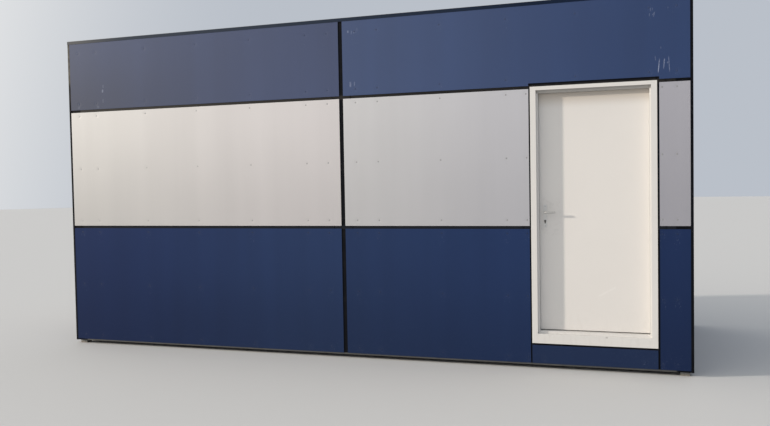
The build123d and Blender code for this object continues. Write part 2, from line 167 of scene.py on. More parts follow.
class CabinStage(bpy.types.PropertyGroup):
    """Camera, light and floor."""

    lens: bpy.props.FloatProperty(
        name="Lens", description="Focal length in millimetres, 36 mm sensor", default=38.28
    )
    eye: bpy.props.FloatVectorProperty(
        name="Eye",
        description="Place of the camera",
        default=(2.679, -7.924, 1.554),
        subtype="TRANSLATION",
    )
    turn: angle_property("Turn", "Camera turned to the left", 18.80)
    dip: angle_property("Dip", "Camera tilted down", 2.16)
    roll: angle_property("Roll", "Camera leaning to its left", -1.0)
    key_side: angle_property("Key side", "Key light's angle to the left of the front", 69.6)
    key_height: angle_property("Key height", "Key light's angle above the horizon", 14.5)
    key_softness: angle_property("Key softness", "Angle that the key light fills", 2.2)
    key_strength: bpy.props.FloatProperty(
        name="Key strength", description="Strength of the key light", default=3.1
    )
    key_colour: colour_property("Key colour", "Colour of the key light", (1.0, 0.90, 0.78))
    sky_colour: colour_property("Sky colour", "Backdrop's colour", (0.49, 0.527, 0.585))
    glow_colour: colour_property(
        "Glow colour", "Added to the backdrop on the key light's side", (0.645, 0.585, 0.475)
    )
    floor_colour: colour_property("Floor colour", "Colour of the floor", (0.62, 0.62, 0.615))
    floor_radius: length_property("Floor radius", "Radius of the floor", 60.0)


def sizes():
    return bpy.context.scene.cabin_fasteners


def colours():
    return bpy.context.scene.cabin_colours


# Where the sheets and their rivets are


def span(node, axis):
    """Lowest and highest place of a node along one axis."""
    low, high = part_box(node)
    return low[axis], high[axis]


def band_of(node):
    """The band that a front sheet belongs to."""
    return "bottom" if node == "front_panel_under_door" else node.split("_")[2]


def band_span(band):
    """Lowest and highest level of a band of sheets."""
    return span(f"front_panel_{band}_left", 2)


def spaced_columns(low, high, first, second, last):
    """Rivet columns of a wide sheet: one by each edge and a regular run between them."""
    fastener = sizes()
    places = [low + first]
    place = low + second
    while place < high - last - fastener.door_inset:
        places.append(place)
        place += fastener.rivet_pitch
    return [*places, high - last]


def even_columns(low, high):
    """Rivet columns at even distances between the corner insets of both ends."""
    inset = sizes().corner_inset
    run = (high - inset) - (low + inset)
    steps = max(1, round(run / sizes().rivet_pitch))
    return [low + inset + run * step / steps for step in range(steps + 1)]


def left_bay_columns():
    """Rivet columns of the sheets from the left corner to the middle joint."""
    fastener = sizes()
    low, high = span("front_panel_top_left", 0)
    insets = (fastener.corner_inset, fastener.second_inset, fastener.joint_inset)
    return spaced_columns(low, high, *insets)


def front_columns(node):
    """Rivet columns of one front sheet."""
    fastener = sizes()
    low, high = span(node, 0)
    if node == "front_panel_under_door":
        return even_columns(low, high)
    if node in ("front_panel_middle_right", "front_panel_bottom_right"):
        return [low + fastener.door_inset, high - fastener.corner_inset]
    if node.endswith("left"):
        return left_bay_columns()
    last = fastener.door_inset if node.endswith("centre") else fastener.corner_inset
    return spaced_columns(low, high, fastener.joint_inset, fastener.joint_second_inset, last)


def band_rows(band):
    """Rivet rows of a band: one by each long edge and, but for the top band, one between."""
    fastener = sizes()
    low, high = band_span(band)
    if band == "top":
        roof_edge_bottom = span("roof_edge", 2)[0]
        return [low + fastener.lower_inset + TOP_BAND_LIFT, roof_edge_bottom - fastener.roof_inset]
    return [low + fastener.lower_inset, (low + high) / 2, high - fastener.upper_inset]


def front_rows(node):
    """Rivet rows of one front sheet."""
    if node == "front_panel_under_door":
        return [span(node, 2)[0] + sizes().lower_inset]
    return band_rows(band_of(node))


def back_columns():
    """Rivet columns of the back, the same in both bays."""
    left = left_bay_columns()
    return left + [-place for place in reversed(left)]


def end_columns():
    """Rivet columns of the ends."""
    return even_columns(*span("end_panels_top", 1))


# Finishes, each a material built up on its own shader


def colour_mix(tree):
    """The sockets of a new node that mixes two colours: factor, first, second and result."""
    node = tree.nodes.new("ShaderNodeMix")
    node.data_type = "RGBA"
    return node.inputs[0], node.inputs[6], node.inputs[7], node.outputs[2]


class Finish:
    """A material: plain values on its shader, then changes over the surface, one on another."""

    def __init__(self, name, colour, roughness, metallic=0.0, specular=0.5):
        self.material = bpy.data.materials.new(name)
        self.material.use_nodes = True
        self.material.diffuse_color = (*colour, 1.0)
        self.tree = self.material.node_tree
        self.shader = self.tree.nodes["Principled BSDF"]
        self.shader.inputs["Base Color"].default_value = (*colour, 1.0)
        self.shader.inputs["Roughness"].default_value = roughness
        self.shader.inputs["Metallic"].default_value = metallic
        self.shader.inputs["Specular IOR Level"].default_value = specular
        self.colour = (*colour, 1.0)
        self.rough = roughness
        self.normal = None
        self.place = self.add("ShaderNodeTexCoord").outputs["Object"]
        axes = self.add("ShaderNodeSeparateXYZ")
        self.join(self.place, axes.inputs[0])
        self.axis = axes.outputs

    def add(self, kind, **settings):
        """A node of this kind with these settings."""
        node = self.tree.nodes.new(kind)
        for key, value in settings.items():
            setattr(node, key, value)
        return node

    def join(self, value, socket):
        """Link an output to a socket, or set the socket to a plain value."""
        if isinstance(value, bpy.types.NodeSocket):
            self.tree.links.new(value, socket)
        else:
            socket.default_value = value

    def math(self, operation, *values, clamp=False):
        """One sum on up to three values."""
        node = self.add("ShaderNodeMath", operation=operation, use_clamp=clamp)
        for value, socket in zip(values, node.inputs):
            self.join(value, socket)
        return node.outputs[0]

    def over_all(self, operation, values):
        """The same sum run over all these values, one after another."""
        result, *others = values
        for value in others:
            result = self.math(operation, result, value)
        return result

    def times(self, *values):
        """The product of these values."""
        return self.over_all("MULTIPLY", values)

    def gap(self, value, place):
        """How far the value is from a place, to either side."""
        return self.math("ABSOLUTE", self.math("SUBTRACT", value, place))

    def nearest(self, axis, places):
        """Distance along one axis to the nearest of these places."""
        return self.over_all("MINIMUM", [self.gap(self.axis[axis], place) for place in places])

    def squares(self, first, second):
        """The sum of the squares of two values."""
        return self.math("ADD", self.times(first, first), self.times(second, second))

    def ramp(self, value, start, end, low, high, kind="LINEAR"):
        """A change from low to high as the value goes up from start to end."""
        node = self.add("ShaderNodeMapRange", interpolation_type=kind)
        names = ("Value", "From Min", "From Max", "To Min", "To Max")
        for name, setting in zip(names, (value, start, end, low, high)):
            self.join(setting, node.inputs[name])
        return node.outputs[0]

    def rise(self, value, start, end):
        """A smooth rise from 0 to 1 as the value goes from start to end."""
        if start < end:
            return self.ramp(value, start, end, 0.0, 1.0, "SMOOTHSTEP")
        return self.ramp(value, end, start, 1.0, 0.0, "SMOOTHSTEP")

    def grains(self, scale, stretch=(1.0, 1.0, 1.0), shift=0.0):
        """The place on the surface in grains, so many a metre along each axis."""
        mapping = self.add("ShaderNodeMapping")
        mapping.inputs["Scale"].default_value = [scale * factor for factor in stretch]
        mapping.inputs["Location"].default_value = (shift, shift * 0.7, shift * 0.4)
        self.join(self.place, mapping.inputs["Vector"])
        return mapping.outputs[0]

    def noise(self, scale, stretch=(1.0, 1.0, 1.0), detail=3.0, shift=0.0):
        """Soft noise between 0 and 1, with so many grains a metre along each axis."""
        node = self.add("ShaderNodeTexNoise")
        node.inputs["Scale"].default_value = 1.0
        node.inputs["Detail"].default_value = detail
        self.join(self.grains(scale, stretch, shift), node.inputs["Vector"])
        return node.outputs["Fac"]

    def spots(self, scale, start, end, **grain):
        """Soft-edged spots, where the noise rises from start to end."""
        return self.rise(self.noise(scale, **grain), start, end)

    def cells(self, scale, channel="Red"):
        """A random value for each cell, with so many cells a metre."""
        node = self.add("ShaderNodeTexVoronoi")
        node.inputs["Scale"].default_value = 1.0
        self.join(self.grains(scale), node.inputs["Vector"])
        channels = self.add("ShaderNodeSeparateColor")
        self.join(node.outputs["Color"], channels.inputs[0])
        return channels.outputs[channel]

    def patch(self, middle, level, half_width, half_height):
        """1 inside a soft-edged oval of the front and 0 outside it."""
        across = self.math("DIVIDE", self.math("SUBTRACT", self.axis["X"], middle), half_width)
        up = self.math("DIVIDE", self.math("SUBTRACT", self.axis["Z"], level), half_height)
        return self.rise(self.squares(across, up), 1.0, 0.35)

    def tint(self, colour, *amounts):
        """Change the colour towards another by the product of these amounts."""
        factor, first, second, result = colour_mix(self.tree)
        self.join(self.times(*amounts), factor)
        self.join(self.colour, first)
        self.join((*colour, 1.0), second)
        self.colour = result

    def shade(self, value, low, high):
        """Multiply the colour by low where the value is 0 and by high where it is 1."""
        node = self.add("ShaderNodeVectorMath", operation="SCALE")
        linked = isinstance(self.colour, bpy.types.NodeSocket)
        self.join(self.colour if linked else self.colour[:3], node.inputs[0])
        self.join(self.math("MULTIPLY_ADD", value, high - low, low), node.inputs["Scale"])
        self.colour = node.outputs[0]

    def roughen(self, value, change):
        """Add the change to the roughness where the value is 1."""
        self.rough = self.math("MULTIPLY_ADD", value, change, self.rough, clamp=True)

    def bump(self, height, distance):
        """Raise the surface by the distance where the height is 1."""
        node = self.add("ShaderNodeBump")
        node.inputs["Distance"].default_value = distance
        self.join(height, node.inputs["Height"])
        if self.normal is not None:
            self.join(self.normal, node.inputs["Normal"])
        self.normal = node.outputs[0]

    def done(self):
        """Link what has been built up to the shader, and return the material."""
        built = {"Base Color": self.colour, "Roughness": self.rough, "Normal": self.normal}
        for name, value in built.items():
            if isinstance(value, bpy.types.NodeSocket):
                self.join(value, self.shader.inputs[name])
        return self.material


def coat(material, *nodes):
    """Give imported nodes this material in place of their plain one."""
    for node in nodes:
        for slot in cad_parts[node].material_slots:
            slot.material = material


# Colours of dirt and wear on the finishes, and of the painted shade under the door head and at the
# top of the leaf
MUD = (0.20, 0.165, 0.125)
ZINC_DIRT = (0.11, 0.10, 0.085)
DOOR_GRIME = (0.33, 0.29, 0.23)
SILL_SPECK = (0.16, 0.14, 0.12)
# Painted shade on the soffit under the door head
HEAD_SOFFIT_SHADE = (0.24, 0.22, 0.19)
LEAF_SCUFF = (0.86, 0.85, 0.83)
FINGER_MARKS = (0.30, 0.28, 0.25)
# Painted shadow of the door head on the top of the leaf
LEAF_TOP_SHADOW = (0.32, 0.235, 0.14)
LEVER_WEAR = (0.20, 0.19, 0.18)
SKIRTING_MARKS = (0.10, 0.09, 0.08)

# Tones of the front sheets and the roof edge at their left and right ends, as parts of their
# colour. They hold painted reflection and shade as well as the coatings' own tone
PLAIN = (1.0, 1.0, 1.0)
END_TONES_AND_REFLECTIONS = {
    "front_panel_top_left": ((1.26, 1.02, 0.90), (1.60, 1.18, 1.00)),
    "front_panel_top_right": ((1.47, 1.34, 1.22), (0.45, 0.78, 0.95)),
    "front_panel_middle_left": ((0.95, 0.945, 0.915), (1.08, 1.045, 1.035)),
    "front_panel_middle_centre": ((1.03, 1.03, 1.03), (0.985, 0.985, 1.02)),
    "front_panel_middle_right": ((0.82, 0.81, 0.865), (0.82, 0.81, 0.865)),
    "front_panel_bottom_left": ((0.55, 0.68, 0.86), (1.15, 1.10, 1.05)),
    "front_panel_bottom_centre": ((1.03, 1.00, 0.97), (0.95, 0.97, 1.00)),
    "front_panel_bottom_right": ((0.72, 0.75, 0.82), (0.72, 0.75, 0.82)),
    "front_panel_under_door": ((1.12, 1.02, 0.95), (1.12, 1.02, 0.95)),
    "roof_edge": ((1.94, 1.68, 1.38), (0.06, 0.32, 0.62)),
}

# Painted shading of a band's colour along its lower and its upper edge: darker low down, lighter
# high up
BAND_PAINTED_SHADING = {"top": (1.0, 1.0), "middle": (0.935, 1.055), "bottom": (0.84, 1.16)}

# Painted reflection on the sheets beside the left corner: their shade away from their lower left
# corner and at it, darker towards that corner, and the place in x where that change begins
CORNER_PAINTED_SHADES = {"front_panel_top_left": (1.03, 0.70), "front_panel_middle_left": (1.0, 0.955)}
CORNER_PAINTED_SHADE_START = -0.8

# Scratches on the front's top sheets: start and end in x and z, half width, and strength at the
# start and at the end
SCRATCHES = {
    "front_panel_top_left": (
        ((-2.493, 2.549), (-2.494, 2.520), 0.006, 0.22, 0.22),
        ((-2.500, 2.505), (-2.502, 2.476), 0.012, 0.30, 0.30),
        ((-2.498, 2.413), (-2.499, 2.374), 0.006, 0.18, 0.14),
        ((-2.784, 2.350), (-2.785, 2.326), 0.020, 0.08, 0.08),
        ((-2.559, 2.350), (-2.559, 2.326), 0.020, 0.08, 0.08),
    ),
    "front_panel_top_right": (
        ((2.655, 2.476), (2.645, 2.361), 0.0048, 0.30, 0.85),
        ((2.692, 2.472), (2.684, 2.388), 0.0046, 0.62, 0.30),
        ((2.721, 2.492), (2.729, 2.362), 0.0040, 0.32, 0.32),
        ((2.623, 2.494), (2.625, 2.460), 0.0040, 0.20, 0.20),
        ((2.713, 2.443), (2.713, 2.433), 0.0050, 0.25, 0.25),
        ((2.665, 2.562), (2.665, 2.550), 0.0050, 0.15, 0.15),
        ((2.590, 2.867), (2.589, 2.840), 0.0042, 0.20, 0.16),
        ((2.605, 2.866), (2.604, 2.847), 0.0040, 0.16, 0.12),
        ((2.583, 2.825), (2.581, 2.802), 0.0042, 0.20, 0.14),
        ((2.622, 2.834), (2.601, 2.808), 0.0048, 0.20, 0.16),
        ((2.620, 2.834), (2.612, 2.796), 0.0048, 0.22, 0.22),
        ((2.718, 2.863), (2.718, 2.853), 0.0050, 0.12, 0.12),
        ((0.076, 2.880), (0.076, 2.863), 0.0090, 0.30, 0.30),
        ((0.109, 2.877), (0.108, 2.848), 0.0050, 0.32, 0.25),
        ((0.132, 2.876), (0.132, 2.854), 0.0048, 0.26, 0.26),
        ((0.162, 2.899), (0.162, 2.874), 0.0045, 0.14, 0.12),
        ((0.091, 2.436), (0.090, 2.389), 0.0110, 0.26, 0.26),
        ((0.129, 2.434), (0.128, 2.395), 0.0050, 0.28, 0.22),
    ),
}


def end_colours(node, colour):
    """A coating's colour at the left and the right end of a node, with its painted reflection and
    shade.
    """
    tones = END_TONES_AND_REFLECTIONS.get(node, (PLAIN, PLAIN))
    return [[channel * part for channel, part in zip(colour, tone)] for tone in tones]


def dimple_dust_and_highlight(finish, axis, columns, rows, dust):
    """A shallow dimple at each rivet of a sheet, with a lighter ring round it that is partly
    drilling dust and partly a painted highlight of the dimple.
    """
    across = finish.nearest(axis, columns)
    distance = finish.math("SQRT", finish.squares(across, finish.nearest("Z", rows)))
    head_radius, dimple_radius, dimple_depth = 0.006, 0.027, 0.0007
    finish.bump(finish.rise(distance, dimple_radius, head_radius), -dimple_depth)
    # Lighter ring round each rivet: partly drilling dust, partly a painted highlight of the dimple
    rim, ring_radius = 0.012, 0.050
    grain = finish.spots(170.0, 0.56, 0.66, detail=2.0)
    finish.tint(dust, finish.rise(distance, ring_radius, rim), grain, 0.10)
    # Lighter trails below each rivet: partly dust that ran down, partly a painted highlight of the
    # dimple
    trail_half_width, trail_fade, trail_length = 0.040, 0.030, 0.150
    runs = []
    for row in rows:
        drop = finish.math("SUBTRACT", row, finish.axis["Z"])
        begun = finish.rise(drop, 0.0, rim)
        runs.append(finish.times(begun, finish.rise(drop, trail_length, trail_fade)))
    below = finish.over_all("MAXIMUM", runs)
    speck = finish.spots(95.0, 0.66, 0.72, stretch=(1.0, 1.0, 0.45), detail=1.0, shift=3.0)
    finish.tint(dust, below, speck, finish.rise(across, trail_half_width, rim), 0.16)


def sheet_core(finish):
    """The dark core that shows at the cut edges of a composite sheet, between its skins."""
    core_front, core_back = 0.0004, 0.0036
    core = []
    for axis, reach in SHEET_REACH.items():
        depth = finish.math("SUBTRACT", reach, finish.math("ABSOLUTE", finish.axis[axis]))
        behind_front = finish.rise(depth, core_front, core_front * 1.2)
        before_back = finish.rise(depth, core_back, core_back - 0.0002)
        core.append(finish.times(behind_front, before_back))
    finish.tint(colours().core, finish.over_all("MAXIMUM", core))


def scratches(finish, strokes):
    """Pale scratches with ragged sides, each of them a row of SCRATCHES."""
    if not strokes:
        return
    ragged_width, end_reach = 0.014, 0.004
    grain = finish.noise(240.0, stretch=(1.0, 1.0, 0.35), shift=1.7)
    ragged = finish.times(finish.math("SUBTRACT", grain, 0.5), ragged_width)
    marks = []
    for (start_x, start_z), (end_x, end_z), half_width, first, last in strokes:
        slope = (end_x - start_x) / (end_z - start_z)
        middle = finish.math("MULTIPLY_ADD", finish.axis["Z"], slope, start_x - start_z * slope)
        across = finish.math("ADD", finish.gap(finish.axis["X"], middle), ragged)
        up = finish.gap(finish.axis["Z"], (start_z + end_z) / 2)
        half_height = abs(start_z - end_z) / 2 + end_reach
        inside = finish.times(
            finish.rise(across, half_width, half_width * 0.4),
            finish.rise(up, half_height, half_height * 0.55),
        )
        fade = finish.ramp(finish.axis["Z"], end_z, start_z, last, first)
        marks.append(finish.times(inside, fade))
    worn = finish.rise(grain, 0.30, 0.50)
    finish.tint(colours().scratch, finish.over_all("MAXIMUM", marks), worn)


def weathering(finish, strength):
    """Slow clouds and faint upright streaks in a coating."""
    clouds = finish.noise(0.9, detail=2.0)
    streaks = finish.noise(1.0, stretch=(4.5, 4.5, 0.22), shift=5.0)
    for pattern, change in ((clouds, 0.09 * strength), (streaks, 0.12 * strength)):
        finish.shade(pattern, 1.0 - change, 1.0 + change)


def sheet_finish(node, band, axis, columns, rows):
    """The coating of one node of cladding sheets."""
    colour, roughness, metallic, specular = {
        "top": (colours().upper_blue, 0.46, 0.0, 0.5),
        "middle": (colours().silver, 0.47, 0.60, 0.5),
        "bottom": (colours().lower_blue, 0.46, 0.0, 0.1),
    }[band]
    dust = colours().dust if band == "middle" else colours().blue_dust_and_highlight
    left, right = end_colours(node, colour)
    finish = Finish(f"{node}_coating", left, roughness, metallic, specular)
    # Painted reflection and shade: the colour changes from the left end's to the right end's
    if left != right:
        finish.tint(right, finish.rise(finish.axis["X"], *span(node, 0)))
    weathering(finish, 0.45 if band == "middle" else 1.0)
    finish.bump(finish.noise(1.1, stretch=(1.0, 1.0, 0.7), detail=1.0, shift=2.0), 0.004)
    finish.roughen(finish.noise(900.0, detail=2.0), 0.08)
    low, high = band_span(band)
    # Painted shading: darker towards the band's lower edge, lighter towards its upper edge
    finish.shade(finish.rise(finish.axis["Z"], low, high), *BAND_PAINTED_SHADING[band])
    # Painted reflection: the sheets beside the left corner darken towards their lower left corner
    if node in CORNER_PAINTED_SHADES:
        down = finish.rise(finish.axis["Z"], high, low)
        along = finish.rise(finish.axis["X"], CORNER_PAINTED_SHADE_START, LEFT_END)
        finish.shade(finish.times(down, along), *CORNER_PAINTED_SHADES[node])
    if band == "bottom":
        splash_height = 0.42
        splash = finish.spots(150.0, 0.64, 0.72, detail=2.0, shift=9.0)
        height = finish.rise(finish.axis["Z"], low + splash_height, low)
        finish.tint(dust, splash, height, 0.10)
    dimple_dust_and_highlight(finish, axis, columns, rows, dust)
    scratches(finish, SCRATCHES.get(node))
    sheet_core(finish)
    return finish.done()


class CABIN_OT_finish_cladding(bpy.types.Operator):
    """Coat the cladding sheets of all four sides"""

    bl_idname = "cabin.finish_cladding"
    bl_label = "Coat the Cladding"

    def execute(self, context):
        for node in FRONT_SHEETS:
            places = ("X", front_columns(node), front_rows(node))
            coat(sheet_finish(node, band_of(node), *places), node)
        for band in BANDS:
            for side, axis, columns in (("back", "X", back_columns()), ("end", "Y", end_columns())):
                node = f"{side}_panels_{band}"
                coat(sheet_finish(node, band, axis, columns, band_rows(band)), node)
        return {"FINISHED"}


def black_finish(name):
    """Black coated steel with a thin film of dust."""
    finish = Finish(name, colours().black, 0.50, 0.0, 0.06)
    film = finish.spots(14.0, 0.45, 0.80, detail=4.0)
    finish.tint(colours().dust, film, 0.012)
    finish.roughen(finish.noise(60.0), 0.15)
    return finish


def post_highlight_finish():
    """Black post, made lighter beside the top sheet with the dust colour as a painted highlight
    where the light grazes it.
    """
    finish = black_finish("post_highlight_coating")
    level = band_span("top")[0]
    rise_height = 0.45
    height = finish.rise(finish.axis["Z"], level, level + rise_height)
    # Painted highlight: the upper part of the post is lightened with the dust colour
    patches = finish.spots(9.0, 0.25, 0.65, detail=4.0)
    finish.tint(colours().dust, height, patches, 0.45)
    return finish.done()


def batten_finish():
    """Black battens, tinted lighter with dust colours in the level joints, most at the upper one's
    left end.
    """
    finish = black_finish("batten_coating")
    reach, lighter_end = 0.020, 1.2
    lower, middle, upper = (band_span(band) for band in ("bottom", "middle", "top"))
    joints = ((lower, middle, colours().blue_dust_and_highlight), (middle, upper, colours().dust))
    for (_, below), (above, _), colour in joints:
        offset = finish.gap(finish.axis["Z"], (below + above) / 2)
        joint = finish.rise(offset, reach, reach * 0.8)
        finish.tint(colour, joint, 0.036)
    left_end = finish.rise(finish.axis["X"], lighter_end, LEFT_END)
    finish.tint(colours().dust, joint, left_end, 0.10)
    return finish.done()


def steel_finish():
    """Dark painted steel with rust at its worn spots."""
    finish = Finish("frame_steel", colours().steel, 0.55)
    rust = finish.spots(9.0, 0.60, 0.68, detail=6.0)
    finish.tint(colours().rust, rust, 0.85)
    finish.roughen(rust, 0.30)
    finish.shade(finish.noise(55.0, detail=4.0), 0.75, 1.25)
    finish.bump(finish.noise(220.0), 0.0004)
    return finish.done()


def foot_finish():
    """Galvanised blocks with spangle, and dried mud towards the ground."""
    finish = Finish("foot_zinc", colours().foot, 0.60, 0.3)
    finish.shade(finish.cells(60.0), 0.80, 1.20)
    mud_height = 0.026
    height = finish.rise(finish.axis["Z"], mud_height, 0.0)
    mud = finish.times(height, finish.noise(70.0, detail=4.0))
    finish.tint(MUD, finish.math("MULTIPLY", mud, 1.2, clamp=True))
    finish.bump(finish.noise(180.0), 0.0005)
    return finish.done()


def zinc_sheet_finish(name, colour, roughness):
    """Dull galvanised sheet with spangle and dirty runs."""
    finish = Finish(name, colour, roughness, 0.45)
    finish.shade(finish.cells(38.0), 0.88, 1.12)
    dirt = finish.spots(2.2, 0.48, 0.75, stretch=(1.0, 0.4, 1.0), detail=6.0)
    finish.tint(ZINC_DIRT, dirt, 0.45)
    finish.roughen(dirt, 0.25)
    return finish.done()


def roof_edge_finish():
    """Dark coated folded sheet, dusty on top, with a painted reflection that makes it much lighter
    at the left end, and a dust colour at the left corner.
    """
    left, right = end_colours("roof_edge", colours().roof_edge)
    finish = Finish("roof_edge_coating", left, 0.45, 0.0, 0.12)
    # Painted reflection: lighter at the left end, darker at the right
    finish.tint(right, finish.rise(finish.axis["X"], *span("roof_edge", 0)))
    finish.shade(finish.noise(6.0, detail=4.0), 0.85, 1.15)
    corner_tint_length = 0.75
    corner = finish.rise(finish.axis["X"], LEFT_END + corner_tint_length, LEFT_END)
    finish.tint(colours().dust, corner, 0.22)
    top = finish.rise(finish.axis["Z"], ROOF_TOP - 0.003, ROOF_TOP - 0.001)
    finish.tint(colours().dust, top, finish.noise(18.0), 0.45)
    return finish.done()


class CABIN_OT_finish_structure(bpy.types.Operator):
    """Coat the posts, battens, frames, feet, drip strips and roof"""

    bl_idname = "cabin.finish_structure"
    bl_label = "Coat the Structure"

    def execute(self, context):
        plain_posts = ("front_right", "back_left", "back_right")
        black = black_finish("black_coating").done()
        coat(black, *(f"corner_post_{corner}" for corner in plain_posts))
        coat(post_highlight_finish(), "corner_post_front_left")
        coat(batten_finish(), "cladding_battens")
        coat(steel_finish(), "base_rails", "floor_joists", "roof_rails")
        coat(foot_finish(), "corner_feet")
        coat(zinc_sheet_finish("drip_zinc", colours().drip, 0.55), "drip_strips")
        coat(zinc_sheet_finish("roof_zinc", colours().roof, 0.48), "roof_sheet")
        coat(roof_edge_finish(), "roof_edge")
        return {"FINISHED"}


def board_finish(name):
    """Faced boards with a fine joint between them, and a dark membrane outside the walls."""
    finish = Finish(name, colours().wall, 0.55, 0.0, 0.4)
    # The joint's edge and bottom are parts of a board's width
    board_width, joint_edge, joint_bottom = 1.15, 0.0030, 0.0015
    lines = []
    for axis in "XY":
        along = finish.math("FRACT", finish.math("DIVIDE", finish.axis[axis], board_width))
        lines.append(finish.rise(finish.gap(along, 0.5), 0.5 - joint_edge, 0.5 - joint_bottom))
    joints = finish.over_all("MAXIMUM", lines)
    finish.shade(joints, 1.0, 0.55)
    finish.bump(joints, -0.001)
    finish.shade(finish.noise(3.0, detail=4.0), 0.96, 1.03)
    finish.bump(finish.noise(320.0, detail=2.0), 0.0002)
    for axis, outer in (("X", span("right_wall", 0)[1]), ("Y", span("back_wall", 1)[1])):
        reach = finish.math("ABSOLUTE", finish.axis[axis])
        finish.tint(colours().membrane, finish.rise(reach, outer - 0.0020, outer - 0.0010))
    return finish.done()


def floor_finish():
    """Flecked floor covering, scuffed in places."""
    finish = Finish("floor_covering", colours().floor, 0.42, 0.0, 0.4)
    finish.shade(finish.cells(260.0, "Green"), 0.70, 1.40)
    wear = finish.spots(3.5, 0.50, 0.72, detail=6.0)
    finish.tint(colours().dust, wear, 0.25)
    finish.roughen(wear, 0.25)
    return finish.done()


class CABIN_OT_finish_room(bpy.types.Operator):
    """Face the walls and ceiling, and cover the floor"""

    bl_idname = "cabin.finish_room"
    bl_label = "Finish the Room"

    def execute(self, context):
        walls = ("front_wall_left", "front_wall_right", "front_wall_over_door")
        coat(board_finish("wall_boards"), *walls, "back_wall", "left_wall", "right_wall")
        coat(board_finish("ceiling_boards"), "ceiling")
        coat(floor_finish(), "floor_deck")
        return {"FINISHED"}


def white_finish(name, colour, roughness):
    """White coating, a little dirty low down and dusty in places."""
    finish = Finish(name, colour, roughness)
    finish.shade(finish.noise(2.5, detail=4.0), 0.975, 1.02)
    finish.roughen(finish.noise(24.0), 0.10)
    low = span("door_sill", 2)[0]
    clean_above, worst_below = 0.34, 0.02
    height = finish.rise(finish.axis["Z"], low + clean_above, low + worst_below)
    grime = finish.spots(34.0, 0.46, 0.72, stretch=(1.0, 1.0, 0.35), detail=5.0)
    finish.tint(DOOR_GRIME, grime, height, 0.09)
    finish.bump(finish.noise(520.0, detail=1.0), 0.00006)
    return finish


def frame_finish():
    """White coated frame profiles, with a speck on the sill and painted shade under the head."""
    finish = white_finish("frame_coating", colours().frame_white, 0.38)
    speck_x, speck_level, half_width, half_height = 2.245, 0.279, 0.012, 0.006
    speck = finish.patch(speck_x, speck_level, half_width, half_height)
    finish.tint(SILL_SPECK, speck, 0.5)
    # Painted shade: the head's soffit inside the recess is darkened towards a warm grey
    head_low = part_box("door_head")[0]
    above = finish.rise(finish.axis["Z"], head_low.z - 0.006, head_low.z - 0.001)
    inside = finish.rise(finish.axis["Y"], head_low.y + 0.0010, head_low.y + 0.0030)
    finish.tint(HEAD_SOFFIT_SHADE, above, inside, 0.55)
    return finish.done()


def leaf_finish():
    """White coated leaf: a faint long scuff, finger marks by the lever and a painted shadow of the
    head at the top.
    """
    finish = white_finish("leaf_coating", colours().leaf_white, 0.34)
    scuff_x, scuff_level, slope = 2.245, 0.637, 0.57
    start = scuff_level - scuff_x * slope
    along = finish.math("MULTIPLY_ADD", finish.axis["X"], slope, start)
    scuff_half_height, scuff_half_length = 0.016, 0.10
    line = finish.rise(finish.gap(finish.axis["Z"], along), scuff_half_height, 0.0)
    ends = finish.patch(scuff_x, scuff_level, scuff_half_length, 0.07)
    finish.tint(LEAF_SCUFF, line, finish.noise(30.0), ends, 0.42)
    plate_low, plate_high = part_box("handle_plates")
    centre = (plate_low + plate_high) / 2
    marks = finish.spots(26.0, 0.48, 0.75, detail=5.0, shift=4.0)
    towards_grip, hand_half_width, hand_half_height = 0.03, 0.14, 0.22
    hand = finish.patch(centre.x + towards_grip, centre.z, hand_half_width, hand_half_height)
    finish.tint(FINGER_MARKS, marks, hand, 0.14)
    # Painted shadow: the top of the leaf darkens towards a warm grey below the head
    leaf_top = span("door_leaf", 2)[1]
    head_shadow = finish.rise(finish.axis["Z"], leaf_top - 0.150, leaf_top - 0.030)
    finish.tint(LEAF_TOP_SHADOW, head_shadow, 0.46)
    return finish.done()


def lever_finish():
    """Satin grey metal of the lever, brushed and a little worn."""
    finish = Finish("lever_metal", colours().lever, 0.48, 0.85)
    brushing = finish.noise(1.0, stretch=(60.0, 900.0, 900.0), detail=2.0)
    finish.shade(brushing, 0.86, 1.12)
    finish.roughen(brushing, 0.12)
    wear = finish.spots(140.0, 0.60, 0.75, detail=4.0)
    finish.tint(LEVER_WEAR, wear, 0.30)
    finish.roughen(wear, 0.2)
    return finish.done()


def zinc_finish():
    """Bright zinc of screws and lock plates."""
    finish = Finish("bright_zinc", colours().zinc, 0.36, 0.85)
    finish.shade(finish.noise(400.0), 0.82, 1.12)
    finish.roughen(finish.noise(150.0), 0.15)
    return finish.done()


def cylinder_finish():
    """Dark metal of the lock cylinder: partly tarnish, partly painted shade of its keyhole and of
    the shadow round it.
    """
    finish = Finish("cylinder_metal", colours().cylinder, 0.42, 0.8)
    finish.shade(finish.noise(260.0), 0.7, 1.25)
    return finish.done()


class CABIN_OT_finish_door(bpy.types.Operator):
    """Coat the door frame, leaf, hinges, lever and lock cylinder"""

    bl_idname = "cabin.finish_door"
    bl_label = "Finish the Door"

    def execute(self, context):
        framing = ("door_jamb_left", "door_jamb_right", "door_head", "door_sill")
        coat(frame_finish(), *framing, "frame_hinges", "leaf_hinges")
        coat(leaf_finish(), "door_leaf")
        coat(white_finish("plate_coating", colours().plate, 0.32).done(), "handle_plates")
        coat(lever_finish(), "lever_handle")
        coat(cylinder_finish(), "lock_cylinder")
        return {"FINISHED"}


# Modelling of new pieces


def deselect_everything():
    for piece in list(bpy.context.selected_objects):
        piece.select_set(False)


def make_active(piece):
    """Select this piece alone and make it the active one."""
    deselect_everything()
    piece.select_set(True)
    bpy.context.view_layer.objects.active = piece


def settle(piece):
    """Put the piece's place, turn and size into its mesh."""
    make_active(piece)
    bpy.ops.object.transform_apply(location=True, rotation=True, scale=True)


